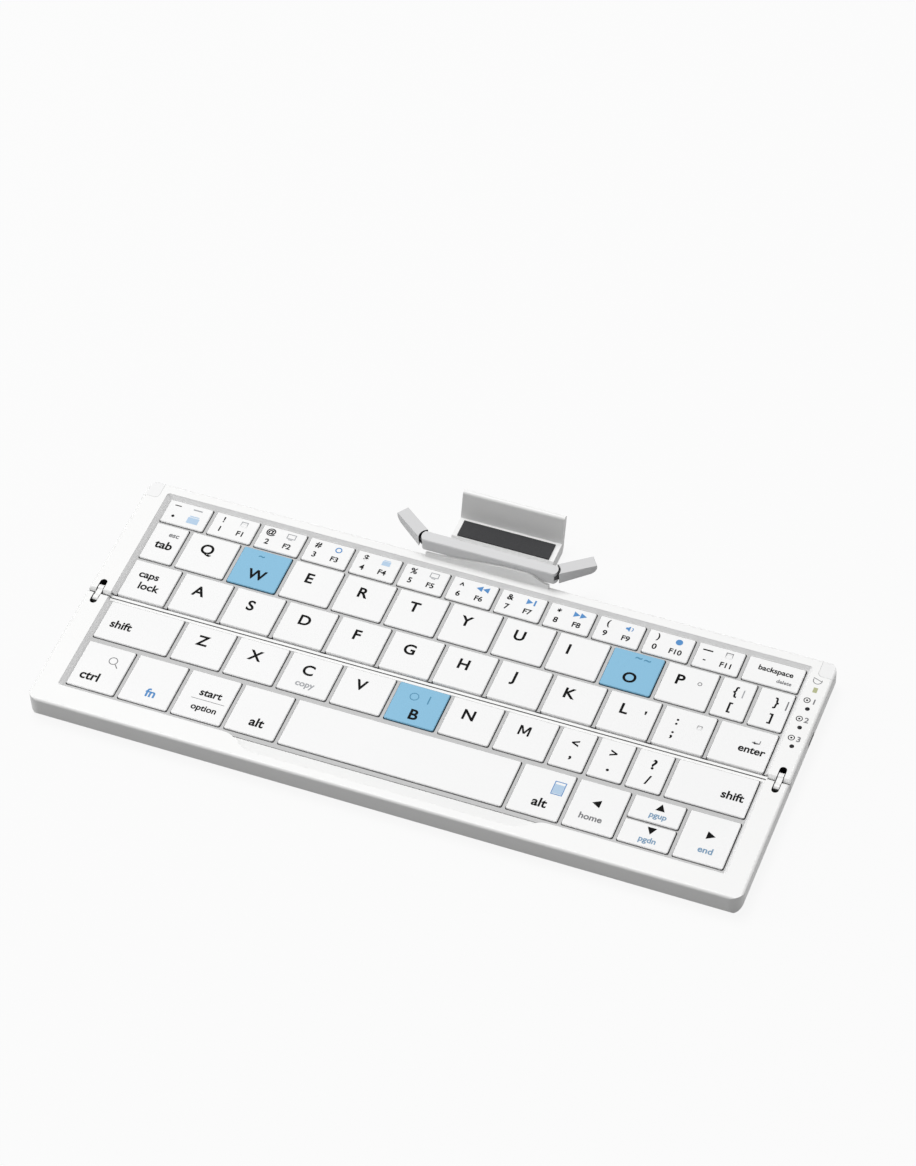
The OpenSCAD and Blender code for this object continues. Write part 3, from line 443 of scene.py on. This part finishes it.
# For each node a row of marks for every cap, in the order of cap_tops. A mark is (text or icon,
# x, y, height, ink)
LEGENDS = {f"key_{letter.lower()}":
           [[(letter, x, BLUE_LETTER_Y.get(letter, LETTER_Y), LETTER_H, "black")]]
           for letter, x in LETTER_X.items()}
LEGENDS["key_p"][0].append(("ring", 3, 1.9, 1.3, "grey"))
LEGENDS["key_l"][0].append(("'", 4, 2.1, 2.8, "black"))
LEGENDS["key_c"][0].append(("copy", 0, -3.7, 1.9, "pale"))
LEGENDS["key_w"][0].append(("~", -1.2, 4.6, 2, "dim"))
LEGENDS["key_o"][0] += [("~", 0.2, 5, 2.2, "dim"), ("~", 2.7, 4.8, 2.2, "dim")]
LEGENDS["key_b"][0] += [("thin_ring", -1.8, 2.8, 2.6, "dim"), ("stroke", 2.4, 2.8, 2.8, "dim")]
LEGENDS["number_keys"] = [
    [("dash", SIGN_X, 2.6, 1.3, "black"), ("dot", SIGN_X, LOWER_Y, 0.9, "black"),
     ("dash", SYMBOL_X, 2.6, 1.8, "pale"), ("block", SYMBOL_X, -1.1, 2.8, "sky")],
] + [number_marks(*signs) for signs in NUMBER_LEGENDS] + [
    [("backspace", 0.3, 1, 1.65, "black"), ("delete", 3.5, -1.9, 1.15, "grey")]]
LEGENDS["rear_side_keys"] = [
    [("tab", 0.1, -0.5, 2.7, "black"), ("esc", 1.5, 3.4, 1.6, "grey")],
    [("caps", -1.1, 1.6, 2.3, "black"), ("lock", 0.5, -1.7, 2.4, "black")],
    [(":", -2.7, 2.1, 2.8, "black"), (";", -2.7, -2.6, 2.8, "black"),
     ("window", 3.6, 2.1, 1.4, "grey")],
    [("{", -0.2, 2.5, 2.7, "black"), ("stroke", 2, 2.4, 2.8, "pale"),
     ("[", -0.1, -3.1, 2.6, "black")],
    [("}", 0.6, 2.5, 2.7, "black"), ("]", 0.6, -3.1, 2.6, "black"),
     ("stroke", 3.6, 2.4, 3.2, "grey")],
]
LEGENDS["enter_key"] = [
    [("enter", 2.7, -0.6, 2.3, "black"), ("return", 2.9, 2.5, 1.9, "grey")]]
LEGENDS["front_side_keys"] = [
    [("shift", -4.9, -0.7, WORD_H, "black")],
    [("<", 0, 2.3, 2.6, "black"), (",", 0.2, -2.9, 3, "black")],
    [(">", -0.1, 2.4, 2.6, "black"), (".", 0.1, -3.4, 3.4, "black")],
    [("?", 0.3, 2.4, 3.1, "black"), ("/", 0.4, -3, 2.8, "black")],
    [("shift", 6, -0.6, WORD_H, "black")],
]
LEGENDS["bottom_row_keys"] = [
    [("ctrl", -1.8, -3.5, 2.8, "black"), ("loupe", 2.5, 2.8, 3.6, "grey")],
    [("fn", 0.8, -3.6, 2.7, "blue")],
    [("start", 0.9, 1.3, 2.3, "black"), ("line", 0.9, -1.1, 0.16, "grey"),
     ("option", 0.9, -4.1, 1.9, "black")],
    [("alt", 0.7, -3.4, 2.8, "black")],
    [("alt", 0.7, -3.2, 2.8, "black"), ("sheet", 3.9, 2.7, 4.5, "blue"),
     ("sheet_fill", 3.9, 2.4, 3.6, "sky")],
    [("left", -0.5, 1.4, 2.6, "black"), ("home", -0.4, -3.5, 1.9, "grey")],
    [("up", 0.7, 1.6, 2.6, "black"), ("pgup", 0.8, -1.8, 1.7, "slate")],
    [("down", 0.7, 1.7, 2.6, "black"), ("pgdn", 0.7, -1.6, 1.7, "slate")],
    [("right", 0.8, 1.3, 2.6, "black"), ("end", 0.8, -3.6, 1.9, "slate")],
]


def mark_curve(what, height):
    """A flat filled curve, in metres: a symbol, or text whose capitals have the height."""
    if what in ICONS:
        curve = bpy.data.curves.new("mark", "CURVE")
        curve.dimensions = "2D"
        curve.fill_mode = "BOTH"
        for loop in ICONS[what]:
            spline = curve.splines.new("POLY")
            spline.points.add(len(loop) - 1)
            for point, (x, y) in zip(spline.points, loop):
                point.co = (x * height * MM, y * height * MM, 0, 1)
            spline.use_cyclic_u = True
    else:
        curve = bpy.data.curves.new("mark", "FONT")
        curve.body = what
        curve.size = height * MM / CAP_HEIGHT
        curve.offset = STROKE * curve.size
        curve.resolution_u = FONT_STEPS
    curve.extrude = PRINT_T
    return curve


def middle_of(points):
    """Middle of the box round some points."""
    lows = [min(p[axis] for p in points) for axis in range(3)]
    highs = [max(p[axis] for p in points) for axis in range(3)]
    return Vector((a + b) / 2 for a, b in zip(lows, highs))


def print_marks(name, marks, body):
    """One piece of ink with all of the marks, each a (curve object, centre, ink)."""
    view = bpy.context.evaluated_depsgraph_get()
    ink_names = sorted({ink for _, _, ink in marks})
    inked = bmesh.new()
    for source, centre, ink in marks:
        mesh = bpy.data.meshes.new_from_object(source.evaluated_get(view))
        mesh.transform(Matrix.Translation(centre - middle_of([v.co for v in mesh.vertices])))
        first = len(inked.faces)
        inked.from_mesh(mesh)
        inked.faces.ensure_lookup_table()
        for face in inked.faces[first:]:
            face.material_index = ink_names.index(ink)
            face.smooth = False
        bpy.data.meshes.remove(mesh)
    bmesh.ops.remove_doubles(inked, verts=inked.verts, dist=INK_WELD)
    add_piece(name, inked, [INKS[ink] for ink in ink_names], body)


def cap_tops(name):
    """Middle of each cap's top in a node, from left to right, and a rear one before a front one."""
    solid = bmesh.new()
    solid.from_mesh(NODES[name].data)
    bmesh.ops.remove_doubles(solid, verts=solid.verts, dist=CAP_WELD)
    tops, seen = [], set()
    for start in solid.verts:
        if start in seen:
            continue
        island, queue = [], [start]
        seen.add(start)
        while queue:
            vertex = queue.pop()
            island.append(vertex.co.copy())
            for edge in vertex.link_edges:
                other = edge.other_vert(vertex)
                if other not in seen:
                    seen.add(other)
                    queue.append(other)
        top = middle_of(island)
        top.z = max(p.z for p in island)
        tops.append(top)
    solid.free()
    return sorted(tops, key=lambda top: (round(top.x, 4), -top.y))


def placed(marks, origin):
    """Curve objects, centres and inks of some marks round an origin."""
    out = []
    for what, x, y, height, ink in marks:
        source = add_object("mark", mark_curve(what, height))
        out.append((source, origin + Vector((x * MM, y * MM, 0)), ink))
    return out


# Marks on the right margin, in millimetres in the frame's X and from the fold line in Y
MARGIN_MARKS = [("plug", 96.9, 35.4, 2.6, "grey")]
for number, y in (("1", 28.2), ("2", 21.5), ("3", 14.6)):
    MARGIN_MARKS += [("target", 96.3, y, 1.9, "black"), (number, 98.3, y, 1.7, "grey")]

pieces = {f"legend_{name}": (name, [mark for marks, top in zip(rows, cap_tops(name))
                                    for mark in placed(marks, top)])
          for name, rows in LEGENDS.items()}
pieces["margin_marks"] = ("rear_shell", placed(MARGIN_MARKS, Vector((0, FOLD_Y, RIM_TOP))))
bpy.context.view_layer.update()
for piece_name, (name, marks) in pieces.items():
    print_marks(piece_name, marks, BODY_OF[name])
    for source, _, _ in marks:
        bpy.data.curves.remove(source.data)

# ---------- soft edge where a key frame meets the rim ----------

FRAME_FIT = 0.15 * MM       # from a key frame to the rim round it
WELL_CORNER = 0.8 * MM      # radius of the rims' inner corners
CORNER_STEPS = 8
EDGE_REACH = 0.85 * MM      # from the rim inwards over the frame
EDGE_DROP = 0.1 * MM        # from the rim's top down to the edge
EDGE_SUNK = 0.02 * MM       # how far it goes into the rim and the frame
EDGE_START = 1.35 * MM      # from the fold line
BEVEL_END = 46.5 * MM       # from the middle to just past the end of the bevel for the thumbs


def edge_path(inset, wall_y, end_x):
    """Plan of a line along the left wall from the fold, round the corner and to end_x, at a
    distance inside the walls."""
    side = 1 if wall_y > FOLD_Y else -1
    radius = max(WELL_CORNER - inset, EDGE_SUNK)
    x, y = inset - FRAME_X - FRAME_FIT, wall_y + side * (FRAME_FIT - inset)
    turns = [math.radians(180 - 90 * i / CORNER_STEPS) for i in range(CORNER_STEPS + 1)]
    corner = [(x + radius + radius * math.cos(t), y + side * radius * (math.sin(t) - 1))
              for t in turns]
    return [(x, FOLD_Y + side * EDGE_START)] + corner + [(end_x, y)]


def edge_profile():
    """Distances from the rim and heights of the edge's section: a slope down to the frame."""
    top, low = RIM_TOP - EDGE_DROP, FRAME_TOP - EDGE_SUNK
    return [(-EDGE_SUNK, top), (0, top), (EDGE_REACH, FRAME_TOP), (EDGE_REACH, low),
            (-EDGE_SUNK, low)]


def mirrored(path):
    return [(-x, y) for x, y in path]


def add_strip(solid, lines):
    """A closed solid through lines of as many points, each a (plan, height), with capped ends."""
    rows = [[solid.verts.new((x, y, z)) for x, y in path] for path, z in lines]
    for row, after in zip(rows, rows[1:] + rows[:1]):
        for i in range(len(row) - 1):
            solid.faces.new((row[i], row[i + 1], after[i + 1], after[i]))
    for end in (0, -1):
        solid.faces.new([row[end] for row in rows])


def make_edge(name, wall_y, end_x, body):
    """The edge of one half: a single strip if it runs to the middle, else one on each side."""
    solid = bmesh.new()
    lines = [(edge_path(inset, wall_y, end_x), z) for inset, z in edge_profile()]
    if end_x == 0:
        add_strip(solid, [(path + mirrored(path[-2::-1]), z) for path, z in lines])
    else:
        add_strip(solid, lines)
        add_strip(solid, [(mirrored(path), z) for path, z in lines])
    bmesh.ops.recalc_face_normals(solid, faces=solid.faces)
    add_piece(name, solid, [EDGE_GREY], body)


make_edge("rear_frame_edge", FRAME_REAR, 0, BODY_OF["rear_deck"])
make_edge("front_frame_edge", FRAME_FRONT, -BEVEL_END, BODY_OF["front_deck"])

# ---------- floor, backdrop, lights and camera ----------

AMBIENT = 0.3
BACKDROP = 0.98             # how bright the surroundings look, but not how much light they give
PLAIN_SHARE = 0.8           # share of the floor's look that is plain white
PLAIN_WHITE = 1.13
FLOOR_REACH = 4
FLOOR_GREY = (0.3, 0.3, 0.3, 1)
# Square soft boxes: name, place, watts and side
LAMPS = [("key", (-0.8, 0.85, 3.05), 75, 1.6), ("left_fill", (-1.5, -0.35, 0.75), 7, 1),
         ("right_rim", (1.4, 0.9, 0.7), 2.5, 0.8)]
# Solved from the grid of the caps in the photograph; the turn is in degrees
CAMERA_PLACE = (0.275746, -0.649847, 0.835267)
CAMERA_TURN = (41.3722, 1.5156, 20.9792)
SENSOR = 36
FOCAL_LENGTH = 124.696


def seen_directly(tree):
    """1 for a ray that shows the background, in the picture, a reflection or glass."""
    path = node(tree, "ShaderNodeLightPath")
    total = path.outputs["Is Camera Ray"]
    for output in ("Is Glossy Ray", "Is Transmission Ray"):
        larger = node(tree, "ShaderNodeMath", operation="MAXIMUM")
        tree.links.new(total, larger.inputs[0])
        tree.links.new(path.outputs[output], larger.inputs[1])
        total = larger.outputs[0]
    return total


def make_floor():
    """A plain floor that shows itself nearly white and keeps the object's shadow."""
    mesh = bpy.data.meshes.new("floor")
    corners = [(*corner, 0) for corner in
               rectangle(-FLOOR_REACH, FLOOR_REACH, -FLOOR_REACH, FLOOR_REACH)]
    mesh.from_pydata(corners, [], [(0, 1, 2, 3)])
    floor = add_object("floor", mesh)
    material, tree, shader = new_material("floor")
    shader.inputs["Base Color"].default_value = FLOOR_GREY
    shader.inputs["Roughness"].default_value = 0.9
    shader.inputs["Specular IOR Level"].default_value = 0
    white = node(tree, "ShaderNodeEmission", {"Strength": PLAIN_WHITE})
    mix = node(tree, "ShaderNodeMixShader")
    share = node(tree, "ShaderNodeMath", {1: PLAIN_SHARE}, operation="MULTIPLY")
    tree.links.new(seen_directly(tree), share.inputs[0])
    tree.links.new(share.outputs[0], mix.inputs[0])
    tree.links.new(shader.outputs[0], mix.inputs[1])
    tree.links.new(white.outputs[0], mix.inputs[2])
    tree.links.new(mix.outputs[0], tree.nodes["Material Output"].inputs["Surface"])
    mesh.materials.append(material)


def make_world():
    """Even surroundings: dim as a light, white to look at."""
    world = bpy.data.worlds.new("studio")
    world.use_nodes = True
    tree = world.node_tree
    background = tree.nodes["Background"]
    background.inputs["Color"].default_value = (1, 1, 1, 1)
    strength = node(tree, "ShaderNodeMapRange", {"To Min": AMBIENT, "To Max": BACKDROP})
    tree.links.new(seen_directly(tree), strength.inputs["Value"])
    tree.links.new(strength.outputs[0], background.inputs["Strength"])
    bpy.context.scene.world = world


def add_lamp(name, place, power, size):
    """A square soft box that faces the object."""
    data = bpy.data.lights.new(name, "AREA")
    data.energy = power
    data.size = size
    lamp = add_object(name, data)
    lamp.location = place
    lamp.rotation_euler = (-Vector(place)).to_track_quat("-Z", "Y").to_euler()


def add_camera():
    """The photograph's viewpoint; the longer side of the picture spans the sensor."""
    data = bpy.data.cameras.new("camera")
    data.sensor_width = SENSOR
    data.lens = FOCAL_LENGTH
    camera = add_object("camera", data)
    camera.location = CAMERA_PLACE
    camera.rotation_euler = [math.radians(angle) for angle in CAMERA_TURN]
    bpy.context.scene.camera = camera


make_floor()
make_world()
for lamp in LAMPS:
    add_lamp(*lamp)
add_camera()
bpy.context.scene.view_settings.view_transform = "Standard"
